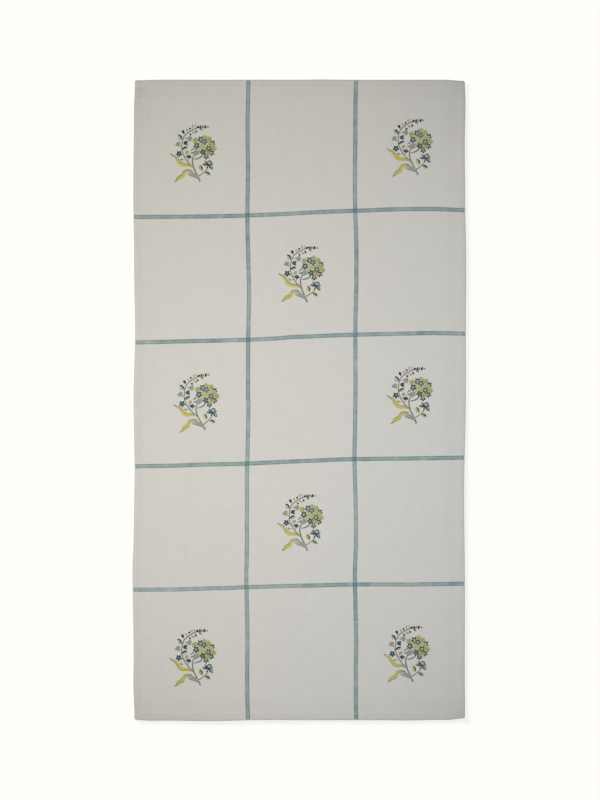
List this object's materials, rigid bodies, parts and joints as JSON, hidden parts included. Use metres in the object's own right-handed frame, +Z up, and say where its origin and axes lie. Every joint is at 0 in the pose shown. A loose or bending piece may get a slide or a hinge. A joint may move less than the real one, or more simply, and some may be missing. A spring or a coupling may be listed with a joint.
{
  "type": "bath towel",
  "caption": "Flat woven cotton bath towel with narrow turned hems, a printed windowpane of thin stripes and a flower sprig in every other pane.",
  "frame": {"origin": "middle of the flat underside, where the towel rests", "axes": "+Z up out of the printed face, +Y along the towel's length to the end that is at the top of the picture, +X across it"},
  "size_m": [0.7166, 1.3758, 0.0034],
  "materials": {
    "cloth": "plain woven cotton, matt, block printed in teal, blue and yellow"
  },
  "bodies": {
    "root": {"towel": "cloth"}
  },
  "joints": []
}
